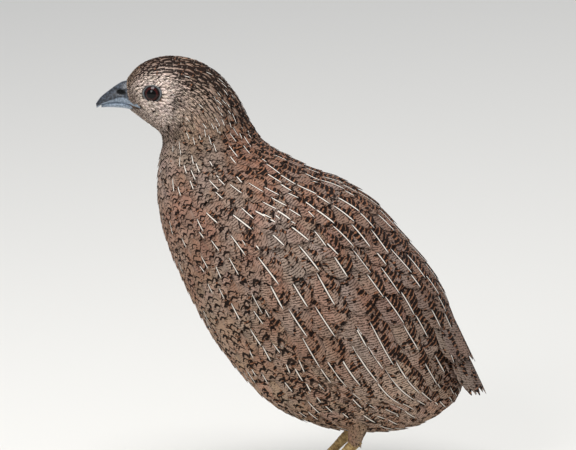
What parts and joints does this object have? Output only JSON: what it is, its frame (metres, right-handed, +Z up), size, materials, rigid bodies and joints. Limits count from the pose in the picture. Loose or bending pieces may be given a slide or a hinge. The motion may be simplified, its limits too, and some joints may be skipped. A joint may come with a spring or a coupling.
{
  "type": "brown quail",
  "caption": "Small plump ground bird standing alert, with head high, wings folded over the flanks and a short drooping tail.",
  "frame": {"origin": "on the floor, under the middle of the bird's box", "axes": "the bird faces -Y, its left side is +X, and +Z is up"},
  "size_m": [0.0672, 0.1372, 0.1552],
  "materials": {
    "plumage_brown": "matt barred feathers",
    "plumage_face": "matt fine feathers",
    "plumage_wing": "matt flight feathers and coverts",
    "plumage_tail": "matt tail feathers",
    "horn_dark": "smooth dark horn",
    "horn_pale": "smooth blue-grey horn",
    "eye_red": "wet and clear",
    "leg_skin": "dull yellow scaled skin",
    "claw_horn": "smooth dark horn"
  },
  "bodies": {
    "root": {"head": "plumage_face", "bill_upper": "horn_dark", "bill_lower": "horn_pale", "eye_left": "eye_red", "eye_right": "eye_red", "neck": "plumage_brown", "torso": "plumage_brown", "wing_left": "plumage_wing", "wing_right": "plumage_wing", "tail": "plumage_tail", "thigh_left": "plumage_brown", "thigh_right": "plumage_brown", "shank_left": "leg_skin", "shank_right": "leg_skin", "foot_left": "leg_skin", "foot_right": "leg_skin", "claw_left_inner": "claw_horn", "claw_left_middle": "claw_horn", "claw_left_outer": "claw_horn", "claw_left_hind": "claw_horn", "claw_right_inner": "claw_horn", "claw_right_middle": "claw_horn", "claw_right_outer": "claw_horn", "claw_right_hind": "claw_horn"}
  },
  "joints": []
}
